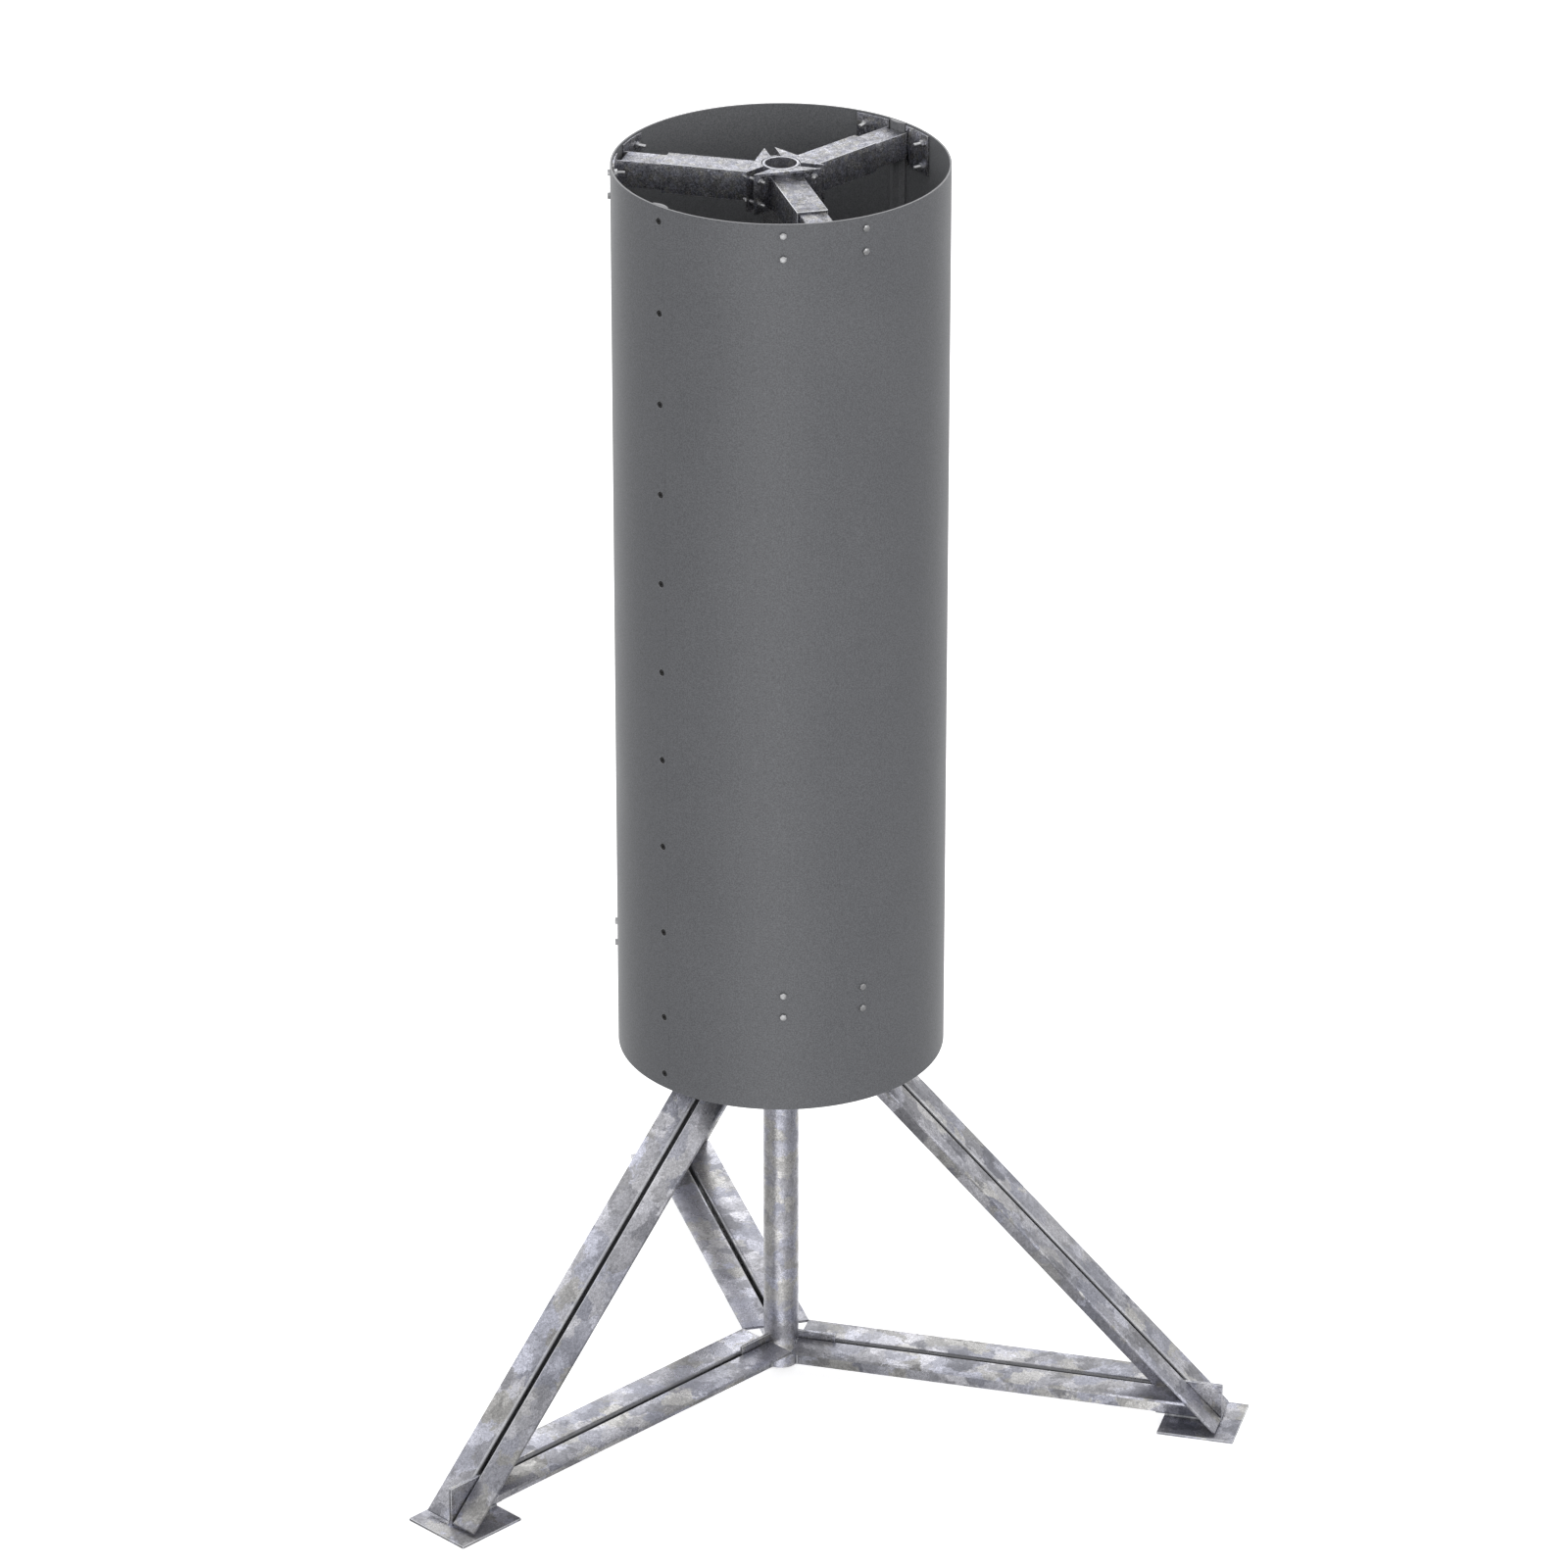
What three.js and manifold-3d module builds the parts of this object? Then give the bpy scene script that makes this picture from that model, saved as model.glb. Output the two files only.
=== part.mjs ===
// Gravity feeder for game: an open drum held by two three-armed spiders on a central post,
// which stands on three welded legs. Millimetres, +Z up, one leg along +X.
import * as THREE from 'three';
import { mergeVertices } from 'three/addons/utils/BufferGeometryUtils.js';
import Module from 'manifold-3d';

const wasm = await Module();
wasm.setup();

// ---- Driving dimensions ----
const GAP = 0.3;                    // clearance where two pieces meet
const RAD = Math.PI / 180;

const DRUM_R = 349.5;               // outside radius
const DRUM_WALL = 4;
const DRUM_HEIGHT = 2000;
const DRUM_BOTTOM = 814;            // above the ground
const BUTT_LAP = 2.2;               // degrees from a seam to the line where the halves meet
const BUTT_GAP = 0.05;              // degrees between their edges
const SEAM_ANGLES = [240, 60];
const SEAM_FIRST = 33;              // first screw below the rim, last screw above the bottom
const SEAM_PITCH = 200;
const SEAM_SCREWS = 10;             // at full pitch, then one more near the bottom

const STRIP_WIDTH = 43;
const STRIP_THICK = 10;
const STRIP_EDGE = 3;

const POST_R = 38;
const POST_WALL = 5;
const PLATE_SIZE = 168;             // square foot plate
const PLATE_THICK = 6;
const PLATE_OUTER = 1030.2;         // outer edge from the post axis

const STAND_CLEAR = 13;             // height of the stems' and post's lower ends
const BASE_TOP = 79;                // height of the base bars' flanges
const BASE_BAR = { flange: 70.3, stem: BASE_TOP - STAND_CLEAR };
const BRACE_BAR = { flange: 66.7, stem: 62.5 };
const ANGLE_THICK = 6;
const ANGLE_HEEL = 8;               // radius outside the bend
const ANGLE_ROOT = ANGLE_HEEL - ANGLE_THICK;
const PAIR_GAP = 8;                 // between the two bars of a pair
const WELD_GAP = 0.5;               // between a bar or gusset and the post
const BRACE_TOP = 1003.8;           // height at which a brace's top face would meet the axis
const BRACE_END = 988;

const GUSSET_THICK = PAIR_GAP - 2 * GAP;
const GUSSET_TOP = 94;
const FOOT_GUSSET_INNER = 842;
const BASE_GUSSET_OUTER = 122.5;
const HEAD_GUSSET_WIDTH = 85;
const HEAD_GUSSET_SHOWS = 25;       // how far it reaches below the stems, at the post

const HUB_TIP = 90;                 // tips of the top plate, from the axis
const HUB_MITRE = 11;               // half the gap between neighbouring brackets
const HUB_THICK = 5;
const HUB_HEIGHT = 88;
const HUB_NOTCH = 2.5;              // clearance round the post
const STUD_ROWS = [17, 67];         // below the top plate
const STUD_OUT = 76;                // from the axis, along the mitre
const STUD_HALF = 31;

const OUTER_ARM = 65;
const OUTER_WALL = 4;
const OUTER_END = 247;
const INNER_ARM = 56;
const INNER_WALL = 3;
const INNER_START = 180;
const ARM_AXIS_DROP = 46.5;         // arm centreline below the top plate
const TAB_HEIGHT = 86;
const TAB_THICK = 4;
const TAB_HALF_ANGLE = 17.4;
const TAB_CLEAR = 0.5;              // between a tab and the drum wall
const BOLT_ANGLE = 14.2;            // rim bolts either side of an arm
const BOLT_ROWS = [24, 74];

const M8_R = 4;
const HOLE_R = M8_R + GAP;
const COUNTERSINK_R = 8;            // of the seam screws' holes, at the drum's outer face
const COUNTERSINK_DEPTH = 3.5;

const LEG_ANGLES = [0, 120, 240];
const ARM_ANGLES = [60, 180, 300];
const DRUM_TOP = DRUM_BOTTOM + DRUM_HEIGHT;
const LOWER_SPIDER_TOP = DRUM_BOTTOM + 294;
const SPIDERS = { upper: DRUM_TOP, lower: LOWER_SPIDER_TOP };
const WALL_INNER = DRUM_R - DRUM_WALL;
const TAB_OUTER = WALL_INNER - TAB_CLEAR;
const STEM_START = POST_R + WELD_GAP;
const WIDE = 200;                   // reach of the cutting tools beside a bar
const BEYOND = 300;                 // and past its ends

// ---- Solids ----
function solid(geometry) {
  const bare = new THREE.BufferGeometry();
  bare.setAttribute('position', geometry.getAttribute('position').clone());
  if (geometry.index) bare.setIndex(geometry.index.clone());
  const merged = mergeVertices(bare, 1e-4);
  const vertProperties = new Float32Array(merged.getAttribute('position').array);
  const triVerts = new Uint32Array(merged.index.array);
  return new wasm.Manifold(new wasm.Mesh({ numProp: 3, vertProperties, triVerts }));
}

function toGeometry(manifold) {
  const mesh = manifold.getMesh();
  const geometry = new THREE.BufferGeometry();
  geometry.setAttribute('position', new THREE.BufferAttribute(new Float32Array(mesh.vertProperties), 3));
  geometry.setIndex(new THREE.BufferAttribute(new Uint32Array(mesh.triVerts), 1));
  const flat = geometry.toNonIndexed();
  flat.computeVertexNormals();
  return flat;
}

function joined(solids) {
  return solids.reduce((sum, next) => sum.add(next));
}

function turned(manifold, degrees) {
  return manifold.rotate([0, 0, degrees]);
}

// Prism over an outline in X and Y, from one height to another.
function prism(outline, low, high) {
  const shape = new THREE.Shape(outline.map(([x, y]) => new THREE.Vector2(x, y)));
  const geometry = new THREE.ExtrudeGeometry(shape, { depth: high - low, bevelEnabled: false });
  return solid(geometry.translate(0, 0, low));
}

// Prism over an outline in X and Z, between two values of Y.
function slab(outline, near, far) {
  const shape = new THREE.Shape(outline.map(([x, z]) => new THREE.Vector2(x, z)));
  const geometry = new THREE.ExtrudeGeometry(shape, { depth: far - near, bevelEnabled: false });
  return solid(geometry.rotateX(Math.PI / 2).translate(0, far, 0));
}

function box(x, y, z) {
  const geometry = new THREE.BoxGeometry(x[1] - x[0], y[1] - y[0], z[1] - z[0]);
  return solid(geometry.translate((x[0] + x[1]) / 2, (y[0] + y[1]) / 2, (z[0] + z[1]) / 2));
}

function cylinder(radius, low, high, sides) {
  const geometry = new THREE.CylinderGeometry(radius, radius, high - low, sides);
  return solid(geometry.rotateX(Math.PI / 2).translate(0, 0, (low + high) / 2));
}

// Cone frustum or rod lying along +X, at the given height.
function rod(startR, endR, start, end, height, sides = 12) {
  const geometry = new THREE.CylinderGeometry(endR, startR, end - start, sides);
  return solid(geometry.rotateZ(-Math.PI / 2).translate((start + end) / 2, 0, height));
}

// ---- Stand ----
function postTube() {
  const inner = POST_R - POST_WALL;
  const profile = [
    [inner, STAND_CLEAR],
    [POST_R, STAND_CLEAR],
    [POST_R, DRUM_TOP],
    [inner, DRUM_TOP],
    [inner, STAND_CLEAR],
  ];
  const geometry = new THREE.LatheGeometry(profile.map(([r, z]) => new THREE.Vector2(r, z)), 48);
  return solid(geometry.rotateX(Math.PI / 2));
}

function footPlate() {
  return box([PLATE_OUTER - PLATE_SIZE, PLATE_OUTER], [-PLATE_SIZE / 2, PLATE_SIZE / 2], [0, PLATE_THICK]);
}

// Section of one angle bar in Y and Z: flange on top, stem hanging beside the pair's gap.
function angleSection(bar, top) {
  const heel = PAIR_GAP / 2;
  const rootY = heel + ANGLE_THICK + ANGLE_ROOT;
  const shape = new THREE.Shape();
  shape.moveTo(heel + ANGLE_HEEL, top);
  shape.lineTo(heel + bar.flange, top);
  shape.lineTo(heel + bar.flange, top - ANGLE_THICK);
  shape.lineTo(rootY, top - ANGLE_THICK);
  shape.absarc(rootY, top - ANGLE_THICK - ANGLE_ROOT, ANGLE_ROOT, 90 * RAD, 180 * RAD, false);
  shape.lineTo(heel + ANGLE_THICK, top - bar.stem);
  shape.lineTo(heel, top - bar.stem);
  shape.lineTo(heel, top - ANGLE_HEEL);
  shape.absarc(heel + ANGLE_HEEL, top - ANGLE_HEEL, ANGLE_HEEL, 180 * RAD, 90 * RAD, true);
  return shape;
}

// The section swept along +X, so that its flange is level.
function angleBar(bar, top, start, end) {
  const options = { depth: end - start, bevelEnabled: false, curveSegments: 4 };
  const geometry = new THREE.ExtrudeGeometry(angleSection(bar, top), options);
  const axes = new THREE.Matrix4().makeBasis(
    new THREE.Vector3(0, 1, 0),
    new THREE.Vector3(0, 0, 1),
    new THREE.Vector3(1, 0, 0),
  );
  return solid(geometry.applyMatrix4(axes).translate(start, 0, 0));
}

// Near the post the flange stops where the neighbouring leg's flange starts.
function clearOfNeighbours(solidBar, bar) {
  const flangeSide = PAIR_GAP / 2 + ANGLE_THICK;
  const flangeStart = (PAIR_GAP / 2 + bar.flange) / Math.tan(60 * RAD) + GAP;
  return solidBar
    .subtract(box([-BRACE_END, flangeStart], [flangeSide, WIDE], [-10, DRUM_TOP]))
    .subtract(box([-BRACE_END, STEM_START], [-WIDE, WIDE], [-10, DRUM_TOP]));
}

// Height at which the plane under a brace's flange meets the post axis.
const BRACE_UNDERSIDE = BRACE_TOP - ANGLE_THICK * Math.SQRT2;

function baseAngle() {
  const reach = BRACE_UNDERSIDE - 2 * GAP;
  const underBrace = [[reach - WIDE, WIDE], [reach + WIDE, WIDE], [reach + WIDE, -WIDE]];
  const bar = angleBar(BASE_BAR, BASE_TOP, 0, reach + 50).subtract(slab(underBrace, -WIDE, WIDE));
  return clearOfNeighbours(bar, BASE_BAR);
}

function braceAngle() {
  const long = BRACE_TOP * Math.SQRT2;
  const bar = angleBar(BRACE_BAR, 0, -100, long + 100).rotate([0, 45, 0]).translate([0, 0, BRACE_TOP]);
  const footEnd = box([BRACE_END, BRACE_END + BEYOND], [-WIDE, WIDE], [-BEYOND, BEYOND]);
  const belowStems = box([0, BRACE_END + BEYOND], [-WIDE, WIDE], [-BEYOND, STAND_CLEAR]);
  const aroundBase = [
    [0, -BEYOND],
    [BRACE_UNDERSIDE + BEYOND - GAP, -BEYOND],
    [BRACE_UNDERSIDE - BASE_TOP - 2 * GAP, BASE_TOP + GAP],
    [0, BASE_TOP + GAP],
  ];
  const overBase = slab(aroundBase, -WIDE, WIDE);
  return clearOfNeighbours(bar.subtract(footEnd).subtract(belowStems).subtract(overBase), BRACE_BAR);
}

// Flat plate standing in the gap of a pair, over an outline in X and Z.
function gusset(outline) {
  return slab(outline, -GUSSET_THICK / 2, GUSSET_THICK / 2);
}

function uprightOutline(inner, outer, floor) {
  return [[inner, floor], [outer, floor], [outer, GUSSET_TOP], [inner, GUSSET_TOP]];
}

function footGusset() {
  return gusset(uprightOutline(FOOT_GUSSET_INNER, BRACE_END, PLATE_THICK + GAP));
}

function baseGusset() {
  return gusset(uprightOutline(STEM_START, BASE_GUSSET_OUTER, STAND_CLEAR));
}

// Its top follows the braces, just under their upper faces.
function headGusset() {
  const outer = STEM_START + HEAD_GUSSET_WIDTH;
  const underTop = BRACE_TOP - ANGLE_HEEL;
  const stemBottom = BRACE_TOP - BRACE_BAR.stem * Math.SQRT2;
  return gusset([
    [STEM_START, stemBottom - STEM_START - HEAD_GUSSET_SHOWS],
    [outer, stemBottom - outer + 10],
    [outer, underTop - outer],
    [STEM_START, underTop - STEM_START],
  ]);
}

// ---- Drum ----
function arcBand(innerR, outerR, from, to, steps) {
  const points = [];
  for (let i = 0; i <= steps; i += 1) {
    const a = (from + ((to - from) * i) / steps) * RAD;
    points.push([outerR * Math.cos(a), outerR * Math.sin(a)]);
  }
  for (let i = steps; i >= 0; i -= 1) {
    const a = (from + ((to - from) * i) / steps) * RAD;
    points.push([innerR * Math.cos(a), innerR * Math.sin(a)]);
  }
  return points;
}

function seamHeights() {
  const heights = [];
  for (let i = 0; i < SEAM_SCREWS; i += 1) heights.push(DRUM_TOP - SEAM_FIRST - i * SEAM_PITCH);
  heights.push(DRUM_BOTTOM + SEAM_FIRST);
  return heights;
}

function rimBoltPlaces(spiderTop) {
  const places = [];
  for (const arm of ARM_ANGLES) {
    for (const side of [-BOLT_ANGLE, BOLT_ANGLE]) {
      for (const row of BOLT_ROWS) places.push({ angle: arm + side, height: spiderTop - row });
    }
  }
  return places;
}

function boltHoles() {
  const holes = [];
  for (const top of Object.values(SPIDERS)) {
    for (const place of rimBoltPlaces(top)) {
      const hole = rod(HOLE_R, HOLE_R, WALL_INNER - 20, DRUM_R + 20, place.height);
      holes.push(turned(hole, place.angle));
    }
  }
  return holes;
}

// Countersunk hole through the wall and the strip behind it, lying along +X.
function seamHole(height) {
  const coneEnd = DRUM_R - COUNTERSINK_DEPTH;
  const past = DRUM_R + 1;
  const pastR = COUNTERSINK_R + ((COUNTERSINK_R - HOLE_R) / COUNTERSINK_DEPTH) * (past - DRUM_R);
  const cone = rod(HOLE_R, pastR, coneEnd, past, height, 16);
  return cone.add(rod(HOLE_R, HOLE_R, WALL_INNER - 2 * STRIP_THICK, coneEnd, height, 16));
}

function seamHoles(angle) {
  return seamHeights().map((height) => turned(seamHole(height), angle));
}

// Half of the drum; its edges meet the other half's behind the strips, just beside the screws.
function drumShell(seamAngle) {
  const from = seamAngle + BUTT_LAP;
  const wall = arcBand(WALL_INNER, DRUM_R, from, from + 180 - BUTT_GAP, 64);
  const shell = prism(wall, DRUM_BOTTOM, DRUM_TOP);
  const tools = [...boltHoles(), ...SEAM_ANGLES.flatMap((angle) => seamHoles(angle))];
  return tools.reduce((left, tool) => left.subtract(tool), shell);
}

function seamStrip(angle) {
  const outer = WALL_INNER - GAP;
  const half = Math.asin(STRIP_WIDTH / 2 / outer) / RAD;
  const steps = 10;
  const points = [];
  for (let i = 0; i <= steps; i += 1) {
    const a = (-half + (2 * half * i) / steps) * RAD;
    points.push([outer * Math.cos(a), outer * Math.sin(a)]);
  }
  for (let i = steps; i >= 0; i -= 1) {
    const t = -1 + (2 * i) / steps;
    const depth = STRIP_EDGE + (STRIP_THICK - STRIP_EDGE) * (1 - t * t);
    const a = t * half * RAD;
    points.push([(outer - depth) * Math.cos(a), (outer - depth) * Math.sin(a)]);
  }
  const strip = turned(prism(points, DRUM_BOTTOM, DRUM_TOP), angle);
  return seamHoles(angle).reduce((left, tool) => left.subtract(tool), strip);
}

// ---- Spiders: every piece is drawn with its arm along +X and the top plate's face at height 0 ----
const HUB_EDGE = Math.sqrt(HUB_TIP ** 2 - HUB_MITRE ** 2);
const HUB_FRONT = HUB_EDGE * Math.cos(60 * RAD) + HUB_MITRE * Math.sin(60 * RAD);

// Triangle between two lines parallel to the mitres at the given offset, closed at the front edge.
function wedge(offset, front) {
  const apex = offset / Math.sin(60 * RAD);
  const half = (front - apex) * Math.tan(60 * RAD);
  return [[apex, 0], [front, -half], [front, half]];
}

function hubBracket() {
  const plate = prism(wedge(HUB_MITRE, HUB_FRONT), -HUB_THICK, 0);
  const flanges = prism(wedge(HUB_MITRE, HUB_FRONT), -HUB_HEIGHT, -HUB_THICK / 2)
    .subtract(prism(wedge(HUB_MITRE + HUB_THICK, HUB_FRONT + 50), -HUB_HEIGHT - 1, -HUB_THICK));
  let bracket = plate.add(flanges).subtract(cylinder(POST_R + HUB_NOTCH, -HUB_HEIGHT - 1, 1, 48));
  for (const side of [-60, 60]) {
    for (const row of STUD_ROWS) {
      const hole = rod(HOLE_R, HOLE_R, -STUD_HALF, STUD_HALF, -row).rotate([0, 0, 90]);
      bracket = bracket.subtract(hole.translate([STUD_OUT, 0, 0]).rotate([0, 0, side]));
    }
  }
  return bracket;
}

function squareTube(size, wall, start, end) {
  const half = size / 2;
  const middle = -ARM_AXIS_DROP;
  const bore = half - wall;
  const skin = box([start, end], [-half, half], [middle - half, middle + half]);
  return skin.subtract(box([start - 1, end + 1], [-bore, bore], [middle - bore, middle + bore]));
}

function outerArm() {
  const between = prism(wedge(HUB_MITRE + HUB_THICK + GAP, OUTER_END + 50), -HUB_HEIGHT, 0);
  return squareTube(OUTER_ARM, OUTER_WALL, 10, OUTER_END)
    .intersect(between)
    .subtract(cylinder(POST_R + GAP, -HUB_HEIGHT - 1, 1, 48));
}

function innerArm() {
  const half = INNER_ARM / 2;
  const middle = -ARM_AXIS_DROP;
  const topEnd = WALL_INNER - STRIP_THICK - 3;
  const sideEnd = TAB_OUTER - 1;
  const tabStart = Math.asin((half - INNER_WALL) / TAB_OUTER) / RAD;
  const pieces = [squareTube(INNER_ARM, INNER_WALL, INNER_START, topEnd)];
  for (const side of [-1, 1]) {
    const sidePlate = [(half - INNER_WALL) * side, half * side].sort((a, b) => a - b);
    const arc = [tabStart * side, TAB_HALF_ANGLE * side].sort((a, b) => a - b);
    const tab = arcBand(TAB_OUTER - TAB_THICK, TAB_OUTER, arc[0], arc[1], 6);
    pieces.push(box([topEnd - 5, sideEnd - 2], sidePlate, [middle - half, middle + half]));
    pieces.push(prism(tab, middle - TAB_HEIGHT / 2, middle + TAB_HEIGHT / 2));
  }
  let arm = joined(pieces);
  for (const side of [-BOLT_ANGLE, BOLT_ANGLE]) {
    for (const row of BOLT_ROWS) {
      arm = arm.subtract(turned(rod(HOLE_R, HOLE_R, TAB_OUTER - 20, TAB_OUTER + 20, -row), side));
    }
  }
  return arm;
}

// Threaded stud across a mitre, lying along Y.
function hubStud() {
  return rod(M8_R, M8_R, -STUD_HALF, STUD_HALF, 0).rotate([0, 0, 90]).translate([STUD_OUT, 0, 0]);
}

// ---- Materials ----
const galvanised = new THREE.MeshStandardMaterial({ color: 0xb4b7bd, roughness: 0.5, metalness: 0.7 });
const drumGrey = new THREE.MeshStandardMaterial({ color: 0x66676b, roughness: 0.75, metalness: 0 });
const zinc = new THREE.MeshStandardMaterial({ color: 0xc8cace, roughness: 0.35, metalness: 0.9 });

// ---- Assembly ----
// The origin is the middle of the footprint, on the ground.
const footCorner = PLATE_OUTER * Math.cos(60 * RAD) + (PLATE_SIZE / 2) * Math.sin(60 * RAD);
const model = new THREE.Group();
const feeder = new THREE.Group();
feeder.position.x = -(PLATE_OUTER - footCorner) / 2;
model.add(feeder);

function place(name, manifold, material, degrees = 0, height = 0) {
  const mesh = new THREE.Mesh(toGeometry(manifold), material);
  mesh.name = name;
  mesh.rotation.z = degrees * RAD;
  mesh.position.z = height;
  feeder.add(mesh);
}

function buildStand() {
  const base = baseAngle();
  const brace = braceAngle();
  place('post', postTube(), galvanised);
  LEG_ANGLES.forEach((angle, i) => {
    const leg = i + 1;
    place(`foot_plate_${leg}`, footPlate(), galvanised, angle);
    place(`foot_gusset_${leg}`, footGusset(), galvanised, angle);
    place(`base_gusset_${leg}`, baseGusset(), galvanised, angle);
    place(`head_gusset_${leg}`, headGusset(), galvanised, angle);
    place(`base_angle_${leg}_left`, base, galvanised, angle);
    place(`base_angle_${leg}_right`, base.mirror([0, 1, 0]), galvanised, angle);
    place(`brace_angle_${leg}_left`, brace, galvanised, angle);
    place(`brace_angle_${leg}_right`, brace.mirror([0, 1, 0]), galvanised, angle);
  });
}

function buildDrum() {
  place('drum_shell_right', drumShell(SEAM_ANGLES[0] - 360), drumGrey);
  place('drum_shell_left', drumShell(SEAM_ANGLES[1]), drumGrey);
  place('seam_strip_front', seamStrip(SEAM_ANGLES[0]), drumGrey);
  place('seam_strip_back', seamStrip(SEAM_ANGLES[1]), drumGrey);
}

function buildSpider(level, top) {
  ARM_ANGLES.forEach((angle, i) => {
    const arm = i + 1;
    place(`${level}_hub_bracket_${arm}`, hubBracket(), galvanised, angle, top);
    place(`${level}_outer_arm_${arm}`, outerArm(), galvanised, angle, top);
    place(`${level}_inner_arm_${arm}`, innerArm(), galvanised, angle, top);
    place(`${level}_hub_stud_${arm}_high`, hubStud(), zinc, angle + 60, top - STUD_ROWS[0]);
    place(`${level}_hub_stud_${arm}_low`, hubStud(), zinc, angle + 60, top - STUD_ROWS[1]);
  });
}

buildStand();
buildDrum();
buildSpider('upper', SPIDERS.upper);
buildSpider('lower', SPIDERS.lower);

export default model;
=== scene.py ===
import math
import random

import bmesh
import bpy
from mathutils import Matrix, Vector


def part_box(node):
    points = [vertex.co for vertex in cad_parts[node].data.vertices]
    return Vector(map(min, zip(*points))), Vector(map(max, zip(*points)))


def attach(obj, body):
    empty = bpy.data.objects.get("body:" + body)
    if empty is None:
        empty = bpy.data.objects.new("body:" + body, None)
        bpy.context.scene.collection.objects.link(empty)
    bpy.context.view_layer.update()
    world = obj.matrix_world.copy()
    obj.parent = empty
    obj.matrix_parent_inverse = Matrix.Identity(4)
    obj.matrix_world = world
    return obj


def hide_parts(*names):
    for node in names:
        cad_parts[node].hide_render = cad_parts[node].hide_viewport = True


# Gravity game feeder: an open grey drum on two spiders, a post and three galvanised legs.
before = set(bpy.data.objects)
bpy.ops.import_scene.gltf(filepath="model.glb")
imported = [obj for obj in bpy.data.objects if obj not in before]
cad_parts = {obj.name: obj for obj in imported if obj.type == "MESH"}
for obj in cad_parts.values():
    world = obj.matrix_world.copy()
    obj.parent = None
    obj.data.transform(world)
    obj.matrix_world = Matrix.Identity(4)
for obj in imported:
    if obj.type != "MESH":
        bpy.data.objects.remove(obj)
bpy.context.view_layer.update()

# ---- Measures, in metres ----
POST_LOW, POST_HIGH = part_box("post")
AXIS = Vector(((POST_LOW.x + POST_HIGH.x) / 2, 0, 0))
POST_R = (POST_HIGH.x - POST_LOW.x) / 2
DRUM_LOW, DRUM_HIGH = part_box("drum_shell_right")
DRUM_R = DRUM_HIGH.x - AXIS.x
DRUM_WALL = 0.004
WALL_INNER = DRUM_R - DRUM_WALL
STRIP_THICK = 0.010
PLATE_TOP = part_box("foot_plate_1")[1].z
STEM_BOTTOM = POST_LOW.z            # lower edge of the base bars
BASE_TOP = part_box("base_angle_1_left")[1].z
SPIDER_TOPS = {
    "upper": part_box("upper_hub_bracket_1")[1].z,
    "lower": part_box("lower_hub_bracket_1")[1].z,
}

LEG_ANGLES = (0, 120, 240)
ARM_ANGLES = (60, 180, 300)
SEAM_ANGLES = {"front": 240, "back": 60}
BUTT_ANGLE = 62.2                   # where the halves of the drum meet, in degrees, and opposite
BUTT_GAP = 0.05                     # degrees between their edges
SEAM_FIRST = 0.033                  # first screw below the rim, last screw above the bottom
SEAM_PITCH = 0.200
SEAM_SCREWS = 10                    # at full pitch, then one more near the bottom
SEAM_NUT_ROOM = 0.002               # thread that shows beyond a seam nut

M8_R = 0.004
THREAD_PITCH = 0.00125
THREAD_DEPTH = 0.0006
THREAD_POINT = 0.0012               # how much narrower a thread's ends are
HEX_FLAT = 0.0065                   # half across flats
HEX_SLOPE = 0.55                    # of the turned-down corners
SEAT = 0.0002                       # clearance under a head or nut
HEAD_HEIGHT = 0.0053
NUT_HEIGHT = 0.0065
THIN_NUT = 0.0045
BOLT_ANGLE = 14.2
BOLT_ROWS = (0.024, 0.074)
BOLT_REACH = 0.022                  # inwards, beyond the tab
TAB_THICK = 0.004
TAB_CLEAR = 0.0005                  # between a tab and the drum wall
TAB_INNER = WALL_INNER - TAB_CLEAR - TAB_THICK
STUD_ROWS = (0.017, 0.067)
STUD_OUT = 0.076
STUD_HALF = 0.031
FLANGE_INNER = 0.016                # inner face of a hub flange, from the mitre
COUNTERSINK_R = 0.008
COUNTERSINK_DEPTH = 0.0035
SOCKET_HALF = 0.0025                # of a seam screw's hexagon socket
SOCKET_DEPTH = 0.0022
HALF_GAP = 0.004                    # half the gap between the bars of a pair
BAR_THICK = 0.006
BEND_R = 0.008                      # outside the bend of a bar
RIPPLE = 0.0032                     # from one ripple of a weld bead to the next
BEAD_R = 0.0042                     # of the beads between the base bars and the foot plates
POST_BEAD_R = 0.003
FLOOR_HALF = 30.0
SOFTBOX_PLACE = (7, -4, 4)
MERGE = 1e-6
QUARTER = math.pi / 2

random.seed(7)


# ---- Node helpers ----
def grey(level):
    return [level] * 3


def new_material(name):
    material = bpy.data.materials.new(name)
    material.use_nodes = True
    nodes = material.node_tree.nodes
    return material, nodes, material.node_tree.links, nodes["Principled BSDF"]


def noise(nodes, links, vector, scale, detail, rough):
    node = nodes.new("ShaderNodeTexNoise")
    node.inputs["Scale"].default_value = scale
    node.inputs["Detail"].default_value = detail
    node.inputs["Roughness"].default_value = rough
    links.new(vector, node.inputs["Vector"])
    return node.outputs["Fac"]


def ramp(nodes, links, value, stops):
    node = nodes.new("ShaderNodeValToRGB")
    elements = node.color_ramp.elements
    while len(elements) < len(stops):
        elements.new(0.5)
    for element, (position, colour) in zip(elements, stops):
        element.position = position
        element.color = (*colour, 1)
    links.new(value, node.inputs["Fac"])
    return node.outputs["Color"]


def mixed(nodes, links, factor, first, second, blend="MIX"):
    node = nodes.new("ShaderNodeMix")
    node.data_type = "RGBA"
    node.blend_type = blend
    for socket, value in (("Factor", factor), ("A", first), ("B", second)):
        slot = [s for s in node.inputs if s.name == socket and s.enabled][0]
        if isinstance(value, bpy.types.NodeSocket):
            links.new(value, slot)
        else:
            slot.default_value = value
    return [s for s in node.outputs if s.enabled][0]


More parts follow.
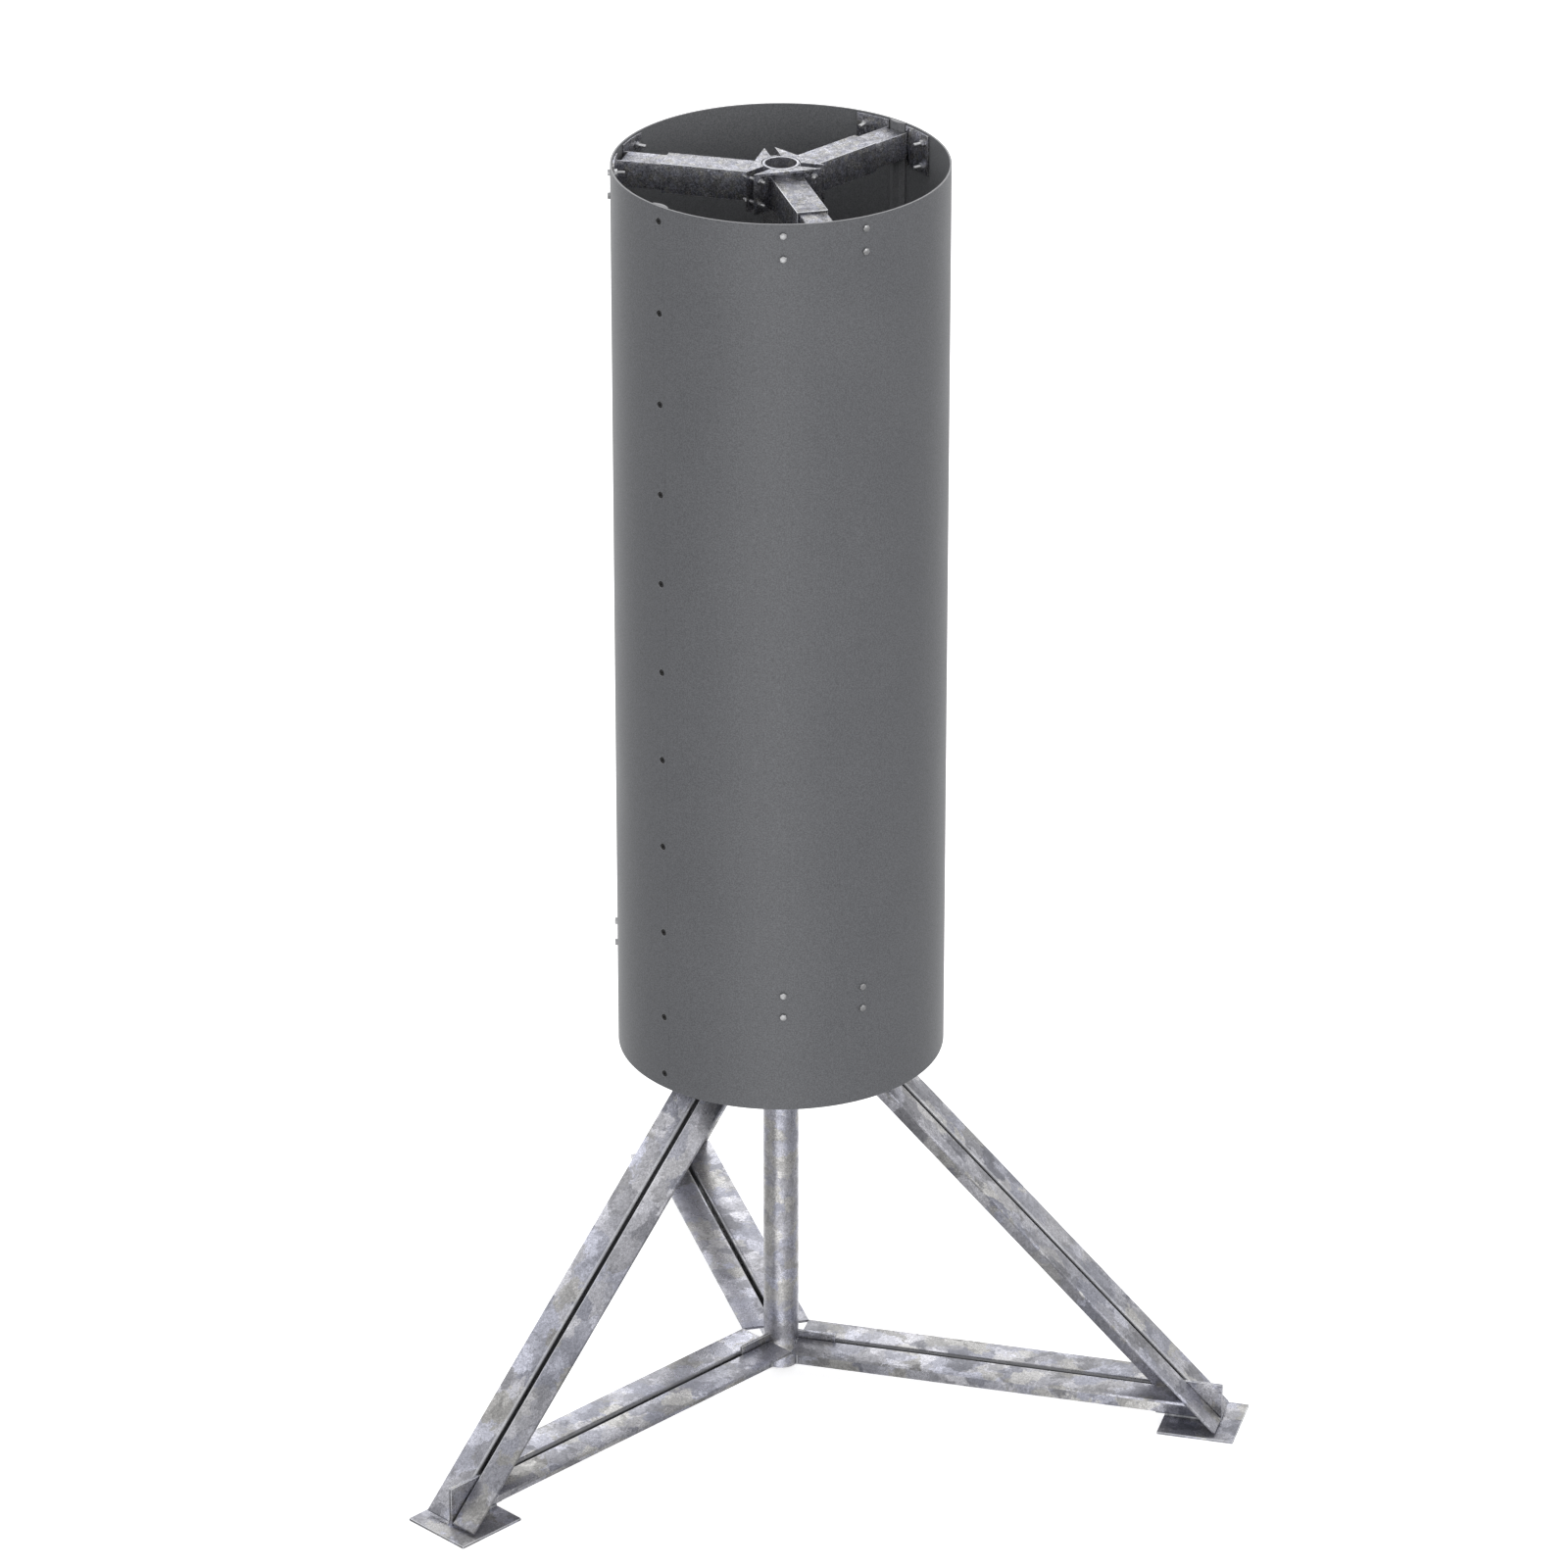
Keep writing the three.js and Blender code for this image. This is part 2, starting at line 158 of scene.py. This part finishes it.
def remapped(nodes, links, value, low, high, start=0.3, end=0.7):
    node = nodes.new("ShaderNodeMapRange")
    node.inputs["From Min"].default_value = start
    node.inputs["From Max"].default_value = end
    node.inputs["To Min"].default_value = low
    node.inputs["To Max"].default_value = high
    links.new(value, node.inputs["Value"])
    return node.outputs["Result"]


def bumped(nodes, links, height, distance, strength=1.0, after=None):
    node = nodes.new("ShaderNodeBump")
    node.inputs["Distance"].default_value = distance
    node.inputs["Strength"].default_value = strength
    links.new(height, node.inputs["Height"])
    if after is not None:
        links.new(after, node.inputs["Normal"])
    return node.outputs["Normal"]


def place_vector(nodes, links, offset=(0, 0, 0)):
    coordinates = nodes.new("ShaderNodeTexCoord")
    mapping = nodes.new("ShaderNodeMapping")
    mapping.inputs["Location"].default_value = offset
    links.new(coordinates.outputs["Object"], mapping.inputs["Vector"])
    return mapping.outputs["Vector"]


def attribute(nodes, name):
    node = nodes.new("ShaderNodeAttribute")
    node.attribute_name = name
    return node.outputs["Fac"]


# ---- Materials ----
# Random value and tint of wavy-edged cells: blotches of a zinc coat.
def cells(nodes, links, vector, scale, waviness):
    wave = nodes.new("ShaderNodeTexNoise")
    wave.inputs["Scale"].default_value = scale * 1.6
    wave.inputs["Detail"].default_value = 4
    wave.inputs["Roughness"].default_value = 0.65
    links.new(vector, wave.inputs["Vector"])
    shift = nodes.new("ShaderNodeVectorMath")
    shift.operation = "MULTIPLY_ADD"
    shift.inputs[1].default_value = (waviness / scale,) * 3
    links.new(wave.outputs["Color"], shift.inputs[0])
    links.new(vector, shift.inputs[2])
    voronoi = nodes.new("ShaderNodeTexVoronoi")
    voronoi.feature = "SMOOTH_F1"
    voronoi.inputs["Scale"].default_value = scale
    voronoi.inputs["Smoothness"].default_value = 0.12
    links.new(shift.outputs["Vector"], voronoi.inputs["Vector"])
    split = nodes.new("ShaderNodeSeparateColor")
    links.new(voronoi.outputs["Color"], split.inputs["Color"])
    return split.outputs["Red"], split.outputs["Green"]


# Zinc coat: overlapping blotches with fairly crisp edges, cloudy tints and a fine grain.
def galvanised_material(name, offset, patch, spread, grain_scale, grain_depth, tone):
    material, nodes, links, shader = new_material(name)
    vector = place_vector(nodes, links, offset)
    large, hue = cells(nodes, links, vector, patch, 1.5)
    small_vector = place_vector(nodes, links, (4.7, 1.9, 3.3))
    small = cells(nodes, links, small_vector, patch * 1.6, 1.8)[0]
    fine = noise(nodes, links, vector, grain_scale, 4, 0.75)
    speck = noise(nodes, links, vector, 330, 2, 0.85)

    base = ramp(nodes, links, large, [
        (0.10, grey(tone - 0.20 * spread)),
        (0.35, grey(tone - 0.04 * spread)),
        (0.65, grey(tone + 0.05 * spread)),
        (0.90, grey(tone + 0.26 * spread)),
    ])
    low = grey(1 - 0.28 * spread)
    high = grey(1 + 0.20 * spread)
    layer = ramp(nodes, links, small, [(0.10, low), (0.45, grey(1.0)), (0.90, high)])
    tint = ramp(nodes, links, hue, [
        (0.15, [0.93, 0.94, 1.08]),
        (0.45, [0.99, 0.985, 1.07]),
        (0.70, [1.0, 0.99, 1.05]),
        (0.90, [1.02, 1.0, 0.98]),
    ])
    layered = mixed(nodes, links, 1.0, base, layer, "MULTIPLY")
    coloured = mixed(nodes, links, 1.0, layered, tint, "MULTIPLY")
    thin = grey(1 - 0.34 * grain_depth)
    thick = grey(1 + 0.22 * grain_depth)
    grain = ramp(nodes, links, fine, [(0.36, thin), (0.64, thick)])
    grained = mixed(nodes, links, 0.8, coloured, grain, "MULTIPLY")
    dots = ramp(nodes, links, speck, [(0.36, thin), (0.64, thick)])
    dotted = mixed(nodes, links, 0.8, grained, dots, "MULTIPLY")
    # Bevels and bend tops get a pale colour: partly edge wear, partly painted highlight.
    worn_and_highlit = mixed(nodes, links, attribute(nodes, "edge_wear_and_highlight"), dotted, (0.92, 0.93, 0.96, 1))
    # Painted shade: faces inside the gap between paired bars are darkened.
    crevice_shaded = mixed(nodes, links, attribute(nodes, "crevice_shade"), worn_and_highlit, (0.24, 0.24, 0.25, 1))
    links.new(crevice_shaded, shader.inputs["Base Color"])
    shader.inputs["Metallic"].default_value = 0.88
    links.new(remapped(nodes, links, small, 0.40, 0.26), shader.inputs["Roughness"])
    first = bumped(nodes, links, fine, 0.0010, 0.5)
    links.new(bumped(nodes, links, speck, 0.0004, 0.6, first), shader.inputs["Normal"])
    return material


def drum_material():
    material, nodes, links, shader = new_material("drum_grey")
    vector = place_vector(nodes, links)
    cloud = noise(nodes, links, vector, 5, 3, 0.5)
    grain = noise(nodes, links, vector, 350, 2, 0.75)
    base = ramp(nodes, links, cloud, [
        (0.3, [0.138, 0.141, 0.151]),
        (0.7, [0.148, 0.151, 0.161]),
    ])
    dots = ramp(nodes, links, grain, [(0.36, grey(0.66)), (0.64, grey(1.30))])
    dotted = mixed(nodes, links, 0.8, base, dots, "MULTIPLY")
    # Painted light: the inner faces of the shell and strips are made paler than the outer ones.
    inside_painted_light = mixed(nodes, links, 1.0, dotted, (1.42, 1.41, 1.38, 1), "MULTIPLY")
    inside = mixed(nodes, links, attribute(nodes, "inner_face_painted_light"), dotted, inside_painted_light)
    # Painted light: level faces of the rims and strips are paler.
    rim_lit = mixed(nodes, links, attribute(nodes, "rim_painted_light"), inside, (0.30, 0.30, 0.31, 1))
    links.new(rim_lit, shader.inputs["Base Color"])
    links.new(remapped(nodes, links, cloud, 0.42, 0.48), shader.inputs["Roughness"])
    shader.inputs["Specular IOR Level"].default_value = 0.6
    links.new(bumped(nodes, links, grain, 0.0004, 0.4), shader.inputs["Normal"])
    return material


def zinc_material(name, low, high):
    material, nodes, links, shader = new_material(name)
    vector = place_vector(nodes, links)
    tarnish = noise(nodes, links, vector, 140, 4, 0.6)
    base = ramp(nodes, links, tarnish, [(0.3, grey(low)), (0.7, [high, high, high * 1.02])])
    links.new(base, shader.inputs["Base Color"])
    shader.inputs["Metallic"].default_value = 0.95
    links.new(remapped(nodes, links, tarnish, 0.42, 0.26), shader.inputs["Roughness"])
    links.new(bumped(nodes, links, tarnish, 0.0002, 0.5), shader.inputs["Normal"])
    return material


def black_material():
    material, nodes, links, shader = new_material("black_screw")
    vector = place_vector(nodes, links)
    scuffs = noise(nodes, links, vector, 600, 3, 0.7)
    base = ramp(nodes, links, scuffs, [(0.35, grey(0.012)), (0.75, grey(0.05))])
    links.new(base, shader.inputs["Base Color"])
    shader.inputs["Metallic"].default_value = 0.3
    links.new(remapped(nodes, links, scuffs, 0.6, 0.42), shader.inputs["Roughness"])
    links.new(bumped(nodes, links, scuffs, 0.0001, 0.6), shader.inputs["Normal"])
    return material


def weld_material():
    material, nodes, links, shader = new_material("weld_zinc")
    vector = place_vector(nodes, links)
    patches = noise(nodes, links, vector, 90, 4, 0.6)
    base = ramp(nodes, links, patches, [
        (0.3, [0.30, 0.31, 0.33]),
        (0.7, [0.58, 0.58, 0.60]),
    ])
    links.new(base, shader.inputs["Base Color"])
    shader.inputs["Metallic"].default_value = 0.8
    links.new(remapped(nodes, links, patches, 0.6, 0.4), shader.inputs["Roughness"])
    links.new(bumped(nodes, links, patches, 0.0006, 0.7), shader.inputs["Normal"])
    return material


# Every leg and arm has its own batch of steel, some a little duller than the others.
LEG_TONES = (0.44, 0.56, 0.50)
ARM_TONES = (0.50, 0.50, 0.42)
LEG_STEEL = []
ARM_STEEL = []
for i in range(3):
    name = f"galvanised_leg_{i + 1}"
    LEG_STEEL.append(
        galvanised_material(name, (i * 3.1, i * 1.7, 0), 18, 0.66, 150, 0.9, LEG_TONES[i])
    )
    name = f"galvanised_arm_{i + 1}"
    ARM_STEEL.append(
        galvanised_material(name, (i * 2.3, 5.0, i), 85, 0.55, 240, 1.7, ARM_TONES[i])
    )
POST_STEEL = galvanised_material("galvanised_post", (9, 2, 0), 34, 0.3, 170, 0.9, 0.57)
GUSSET_STEEL = galvanised_material("galvanised_gusset", (2, 7, 1), 40, 0.4, 200, 1.3, 0.43)
DRUM_GREY = drum_material()
ZINC = zinc_material("zinc_dull", 0.36, 0.60)
BRIGHT_ZINC = zinc_material("zinc_bright", 0.62, 0.86)
BLACK = black_material()
WELD = weld_material()


# ---- Mesh helpers ----
def finished(name, bm, material, body, smooth=35.0):
    mesh = bpy.data.meshes.new(name)
    bmesh.ops.recalc_face_normals(bm, faces=bm.faces)
    bm.to_mesh(mesh)
    bm.free()
    mesh.shade_smooth()
    mesh.set_sharp_from_angle(angle=math.radians(smooth))
    mesh.materials.append(material)
    piece = bpy.data.objects.new(name, mesh)
    bpy.context.scene.collection.objects.link(piece)
    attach(piece, body)
    return piece


def cleaned(node_name, planar=1.0):
    bm = bmesh.new()
    bm.from_mesh(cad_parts[node_name].data)
    bmesh.ops.remove_doubles(bm, verts=bm.verts, dist=MERGE)
    bmesh.ops.dissolve_limit(bm, angle_limit=math.radians(planar), verts=bm.verts, edges=bm.edges)
    return bm


def bevel_edges(bm, edges, width):
    # Bevel faces are marked for a pale colour: rubbed edge wear and a painted edge highlight.
    layer = bm.faces.layers.float.new("edge_wear_and_highlight")
    made = bmesh.ops.bevel(
        bm, geom=edges, offset=width, segments=2, profile=0.5, affect="EDGES", clamp_overlap=True
    )
    for face in made["faces"]:
        face[layer] = 1.0


def corner_edges(bm, angle=35.0):
    limit = math.radians(angle)
    return [e for e in bm.edges if len(e.link_faces) == 2 and e.calc_face_angle(0) > limit]


# The faces between a pair of bars get painted shade, and the tops of the bends get a painted highlight.
def paint_crevice_shade_and_heel_highlight(bm, angle, heel_highlight):
    across = Matrix.Rotation(math.radians(angle), 3, "Z") @ Vector((0, 1, 0))
    layer = bm.faces.layers.float.new("crevice_shade")
    highlight_layer = bm.faces.layers.float["edge_wear_and_highlight"]
    for face in bm.faces:
        offset = (face.calc_center_median() - AXIS).dot(across)
        inwards = -math.copysign(1, offset) * face.normal.dot(across)
        if abs(offset) > HALF_GAP + BEND_R or inwards < 0.1:
            continue
        # Faces looking into the gap get the full painted shade.
        if inwards > 0.75:
            face[layer] = 1.0
        else:
            # Rounded bend: partly painted shade, partly painted highlight.
            face[layer] = (1 - heel_highlight) * inwards
            face[highlight_layer] = heel_highlight * (1 - inwards)


def dressed(node_name, width, material, body, smooth=32.0, pair_angle=None, heel_highlight=0.0):
    bm = cleaned(node_name)
    bevel_edges(bm, corner_edges(bm), width)
    if pair_angle is not None:
        paint_crevice_shade_and_heel_highlight(bm, pair_angle, heel_highlight)
    piece = finished(f"{node_name}_skin", bm, material, body, smooth)
    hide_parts(node_name)
    return piece


def at(angle, height=0.0):
    return Matrix.Translation(AXIS + Vector((0, 0, height))) @ Matrix.Rotation(math.radians(angle), 4, "Z")


# Turns local +Z outwards along local +X, at a distance from the axis.
def outwards(angle, height, distance):
    return at(angle, height) @ Matrix.Translation((distance, 0, 0)) @ Matrix.Rotation(QUARTER, 4, "Y")


# Turns local +Z along local +Y, at a distance from the axis.
def sideways(angle, height, distance):
    return at(angle, height) @ Matrix.Translation((distance, 0, 0)) @ Matrix.Rotation(-QUARTER, 4, "X")


def hex_radius(flat, angle):
    local = (angle + math.pi / 6) % (math.pi / 3) - math.pi / 6
    return flat / math.cos(local)


# Closed skin over a stack of rings; a layer gives radius and height for each angle.
def rings(bm, matrix, layers, sides):
    loops = []
    for layer in layers:
        loop = []
        for i in range(sides):
            angle = 2 * math.pi * i / sides
            radius, height = layer(angle)
            point = Vector((radius * math.cos(angle), radius * math.sin(angle), height))
            loop.append(bm.verts.new(matrix @ point))
        loops.append(loop)
    for below, above in zip(loops, loops[1:]):
        for i in range(sides):
            j = (i + 1) % sides
            bm.faces.new((below[i], below[j], above[j], above[i]))
    bm.faces.new(list(reversed(loops[0])))
    bm.faces.new(loops[-1])


def circle(radius, height):
    return lambda angle: (radius, height)


# Hexagon whose corners are turned down at one or both ends.
def hexagon(bm, matrix, low, high, both_ends):
    inner = HEX_FLAT * 0.97

    def corner(level, sign):
        return lambda angle: (
            hex_radius(HEX_FLAT, angle),
            level - sign * HEX_SLOPE * (hex_radius(HEX_FLAT, angle) - inner),
        )

    start = [circle(inner, low), corner(low, -1)]
    if not both_ends:
        start = [lambda angle: (hex_radius(HEX_FLAT, angle), low)]
    rings(bm, matrix, [*start, corner(high, 1), circle(inner, high)], 36)


def thread(bm, matrix, low, high):
    layers = [circle(M8_R - THREAD_POINT, low), circle(M8_R - THREAD_DEPTH, low + 0.0006)]
    height = low + 0.001
    while height < high - 0.0015:
        layers.append(circle(M8_R, height))
        layers.append(circle(M8_R - THREAD_DEPTH, height + THREAD_PITCH / 2))
        height += THREAD_PITCH
    layers.append(circle(M8_R - THREAD_POINT, high))
    rings(bm, matrix, layers, 16)


# ---- Steel pieces of the stand ----
def dress_stand():
    for i in range(3):
        steel = LEG_STEEL[i]
        leg = i + 1
        dressed(f"foot_plate_{leg}", 0.0008, steel, "stand")
        for part in ("foot_gusset", "base_gusset", "head_gusset"):
            dressed(f"{part}_{leg}", 0.0006, GUSSET_STEEL, "stand")
        for side in ("left", "right"):
            # Strength of the painted highlight on the bends: stronger on the braces.
            for part, heel_highlight in (("base_angle", 0.15), ("brace_angle", 0.7)):
                name = f"{part}_{leg}_{side}"
                dressed(name, 0.0010, steel, "stand", 32.0, LEG_ANGLES[i], heel_highlight)
    dressed("post", 0.0007, POST_STEEL, "stand", 20.0)


def dress_spiders():
    for level in SPIDER_TOPS:
        for i in range(3):
            arm = i + 1
            for part in ("hub_bracket", "outer_arm", "inner_arm"):
                width = 0.0012 if part == "outer_arm" else 0.0007
                dressed(f"{level}_{part}_{arm}", width, ARM_STEEL[i], "drum")


# ---- Drum ----
# Wall faces take their shading from the true cylinder.
def round_shading(piece):
    mesh = piece.data
    normals = []
    for polygon in mesh.polygons:
        for index in polygon.loop_indices:
            point = mesh.vertices[mesh.loops[index].vertex_index].co - AXIS
            radial = Vector((point.x, point.y, 0)).normalized()
            facing = polygon.normal.dot(radial)
            if abs(facing) > 0.98:
                normals.append(radial if facing > 0 else -radial)
            else:
                normals.append(polygon.normal.copy())
    mesh.normals_split_custom_set(normals)


# The halves butt together without a visible line, so the clearance between their edges is closed.
def close_butt(bm):
    for vert in bm.verts:
        point = vert.co - AXIS
        angle = math.degrees(math.atan2(point.y, point.x)) % 180
        if abs(angle - BUTT_ANGLE + BUTT_GAP) < BUTT_GAP / 2:
            vert.co = AXIS + Matrix.Rotation(math.radians(BUTT_GAP), 3, "Z") @ point


def dress_drum():
    for node_name in ("drum_shell_right", "drum_shell_left", "seam_strip_front", "seam_strip_back"):
        bm = cleaned(node_name, 0.4)
        if node_name.startswith("drum"):
            close_butt(bm)
        rim = [
            e for e in corner_edges(bm, 50)
            if all(min(v.co.z - DRUM_LOW.z, DRUM_HIGH.z - v.co.z) < MERGE for v in e.verts)
        ]
        bevel_edges(bm, rim, 0.0006)
        rim_lit = bm.faces.layers.float.new("rim_painted_light")
        inner = bm.faces.layers.float.new("inner_face_painted_light")
        for face in bm.faces:
            outward = face.normal.dot((face.calc_center_median() - AXIS) * Vector((1, 1, 0)))
            # Level faces (rim tops and strip ends) are marked for painted light.
            face[rim_lit] = 1.0 if abs(face.normal.z) > 0.3 else 0.0
            # Inner faces are marked for the painted light as well.
            face[inner] = 1.0 if outward < 0 else 0.0
        piece = finished(f"{node_name}_skin", bm, DRUM_GREY, "drum")
        if node_name.startswith("drum"):
            round_shading(piece)
        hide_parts(node_name)


# ---- Fasteners ----
def rim_bolts():
    for level, top in SPIDER_TOPS.items():
        for i, arm in enumerate(ARM_ANGLES):
            heads = bmesh.new()
            nuts = bmesh.new()
            for side in (-BOLT_ANGLE, BOLT_ANGLE):
                for row in BOLT_ROWS:
                    spin = Matrix.Rotation(random.uniform(0, math.pi / 3), 4, "Z")
                    head = outwards(arm + side, top - row, DRUM_R) @ spin
                    hexagon(heads, head, SEAT, HEAD_HEIGHT, False)
                    spin = Matrix.Rotation(random.uniform(0, math.pi / 3), 4, "Z")
                    inside = outwards(arm + side, top - row, TAB_INNER) @ spin
                    hexagon(nuts, inside, -NUT_HEIGHT - SEAT, -SEAT, True)
                    thread(nuts, inside, -BOLT_REACH, DRUM_R - TAB_INNER + 0.001)
            finished(f"{level}_rim_bolt_heads_{i + 1}", heads, ZINC, "drum", 30)
            finished(f"{level}_rim_bolt_nuts_{i + 1}", nuts, BRIGHT_ZINC, "drum", 30)


def hub_studs():
    for level, top in SPIDER_TOPS.items():
        for i, arm in enumerate(ARM_ANGLES):
            for row, word in zip(STUD_ROWS, ("high", "low")):
                bm = bmesh.new()
                middle = sideways(arm + 60, top - row, STUD_OUT)
                thread(bm, middle, -STUD_HALF, STUD_HALF)
                for turn in (0, math.pi):
                    flip = middle @ Matrix.Rotation(turn, 4, "X")
                    spin = Matrix.Rotation(random.uniform(0, math.pi / 3), 4, "Z")
                    nut = flip @ spin
                    hexagon(bm, nut, FLANGE_INNER + SEAT, FLANGE_INNER + THIN_NUT, True)
                name = f"{level}_hub_stud_{i + 1}_{word}"
                piece = finished(f"{name}_skin", bm, ZINC, "drum", 30)
                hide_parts(name)


def seam_screws():
    for seam, angle in SEAM_ANGLES.items():
        bm = bmesh.new()
        heights = [DRUM_HIGH.z - SEAM_FIRST - i * SEAM_PITCH for i in range(SEAM_SCREWS)]
        heights.append(DRUM_LOW.z + SEAM_FIRST)
        for height in heights:
            spin = Matrix.Rotation(random.uniform(0, math.pi / 3), 4, "Z")
            outer = outwards(angle, height, DRUM_R - 0.0005) @ spin
            end = -DRUM_WALL - STRIP_THICK - NUT_HEIGHT - SEAM_NUT_ROOM
            rings(bm, outer, [
                circle(M8_R - 0.0006, end),
                circle(M8_R, end + 0.0008),
                circle(M8_R, -COUNTERSINK_DEPTH),
                circle(COUNTERSINK_R - 0.0005, -0.0004),
                circle(COUNTERSINK_R - 0.0008, 0),
                lambda a: (hex_radius(SOCKET_HALF, a) + 0.0003, 0),
                lambda a: (hex_radius(SOCKET_HALF, a), -0.0003),
                lambda a: (hex_radius(SOCKET_HALF, a) * 0.98, -SOCKET_DEPTH),
            ], 36)
            nut = outer @ Matrix.Translation((0, 0, -DRUM_WALL - STRIP_THICK))
            hexagon(bm, nut, -NUT_HEIGHT + SEAT, SEAT, True)
        finished(f"seam_screws_{seam}", bm, BLACK, "drum", 30)


# ---- Welds ----
# Rippled bead from one point to another, in the leg's or arm's own frame.
def bead(bm, matrix, start, end, radius):
    start, end = Vector(start), Vector(end)
    length = (end - start).length
    along = (end - start).normalized()
    turn = Vector((0, 0, 1)).rotation_difference(along).to_matrix().to_4x4()
    count = max(4, round(length / (RIPPLE / 4)))
    layers = []
    for i in range(count + 1):
        t = i / count
        ends = min(1.0, 0.35 + 6 * min(t, 1 - t) * length / 0.02)
        wave = 1 + 0.14 * abs(math.sin(math.pi * t * length / RIPPLE))
        wave += random.uniform(-0.06, 0.06)
        layers.append(circle(radius * wave * ends, t * length))
    rings(bm, matrix @ Matrix.Translation(start) @ turn, layers, 8)


# Two beads under each base bar at its foot plate, and one up the post beside its stem.
def leg_welds():
    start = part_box("foot_plate_1")[0].x - AXIS.x + 0.002
    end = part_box("foot_gusset_1")[1].x - AXIS.x - 0.004
    foot = (PLATE_TOP + STEM_BOTTOM) / 2
    beside_post = POST_R + 0.001
    for i, angle in enumerate(LEG_ANGLES):
        bm = bmesh.new()
        matrix = at(angle)
        for side in (-1, 1):
            middle_of_stem = side * (HALF_GAP + BAR_THICK / 2)
            for offset in (-0.0022, 0.0022):
                line = middle_of_stem + offset
                bead(bm, matrix, (start, line, foot), (end, line, foot), BEAD_R)
            root = side * (HALF_GAP + BAR_THICK + 0.001)
            low = (beside_post, root, STEM_BOTTOM)
            high = (beside_post, root, BASE_TOP - 0.004)
            bead(bm, matrix, low, high, POST_BEAD_R)
        finished(f"leg_welds_{i + 1}", bm, WELD, "stand")


dress_stand()
dress_spiders()
dress_drum()
rim_bolts()
hub_studs()
seam_screws()
leg_welds()


# ---- Stage ----
def build_floor():
    material, nodes, links, shader = new_material("floor_white")
    vector = place_vector(nodes, links)
    soft = noise(nodes, links, vector, 0.4, 2, 0.5)
    base = ramp(nodes, links, soft, [(0.3, grey(0.90)), (0.7, grey(0.92))])
    links.new(base, shader.inputs["Base Color"])
    shader.inputs["Roughness"].default_value = 0.9
    shader.inputs["Specular IOR Level"].default_value = 0.0
    shader.inputs["Emission Color"].default_value = (1, 1, 1, 1)
    shader.inputs["Emission Strength"].default_value = 0.7
    mesh = bpy.data.meshes.new("floor")
    half = FLOOR_HALF
    corners = [(-half, -half, 0), (half, -half, 0), (half, half, 0), (-half, half, 0)]
    mesh.from_pydata(corners, [], [(0, 1, 2, 3)])
    mesh.materials.append(material)
    floor = bpy.data.objects.new("floor", mesh)
    bpy.context.scene.collection.objects.link(floor)
    floor.location.z = -0.001           # just under the foot plates
    floor.visible_glossy = False
    floor.visible_diffuse = False
    floor.visible_shadow = False


# Brighter parts of the studio: direction, cosine at which it fades out, added strength.
SKY_LOBES = (
    ((-0.55, 0.75, 0.40), 0.60, 0.58),
    ((0.12, -0.90, -0.42), 0.82, 1.00),
    ((-0.23, 0.87, -0.43), 0.60, 0.80),
)


def build_world():
    world = bpy.data.worlds.new("studio")
    world.use_nodes = True
    bpy.context.scene.world = world
    nodes = world.node_tree.nodes
    links = world.node_tree.links
    background = nodes["Background"]
    coordinates = nodes.new("ShaderNodeTexCoord")
    split = nodes.new("ShaderNodeSeparateXYZ")
    links.new(coordinates.outputs["Generated"], split.inputs["Vector"])
    total = remapped(nodes, links, split.outputs["Z"], 0.44, 0.78, -0.20, 0.20)
    for direction, start, amount in SKY_LOBES:
        dot = nodes.new("ShaderNodeVectorMath")
        dot.operation = "DOT_PRODUCT"
        dot.inputs[1].default_value = Vector(direction).normalized()
        links.new(coordinates.outputs["Generated"], dot.inputs[0])
        lobe = remapped(nodes, links, dot.outputs["Value"], 0.0, amount, start, 1.0)
        add = nodes.new("ShaderNodeMath")
        links.new(total, add.inputs[0])
        links.new(lobe, add.inputs[1])
        total = add.outputs["Value"]
    links.new(total, background.inputs["Strength"])
    background.inputs["Color"].default_value = (0.99, 0.995, 1.0, 1)


def area_light(name, position, target, size, power):
    data = bpy.data.lights.new(name, "AREA")
    data.shape = "RECTANGLE"
    data.size = size[0]
    data.size_y = size[1]
    data.energy = power
    light = bpy.data.objects.new(name, data)
    light.location = position
    direction = Vector(target) - Vector(position)
    light.rotation_euler = direction.to_track_quat("-Z", "Y").to_euler()
    bpy.context.scene.collection.objects.link(light)


def build_camera():
    data = bpy.data.cameras.new("camera")
    data.lens = 181.46
    data.sensor_width = 36
    data.clip_end = 200
    camera = bpy.data.objects.new("camera", data)
    camera.location = (3.7044, -14.6256, 8.5623)
    camera.rotation_euler = (math.radians(64.717), 0, math.radians(15))
    bpy.context.scene.collection.objects.link(camera)
    bpy.context.scene.camera = camera


build_floor()
build_world()
middle = (AXIS.x, 0, 1.4)
area_light("softbox_right", SOFTBOX_PLACE, middle, (3, 5), 80)
build_camera()
bpy.context.scene.view_settings.view_transform = "Standard"
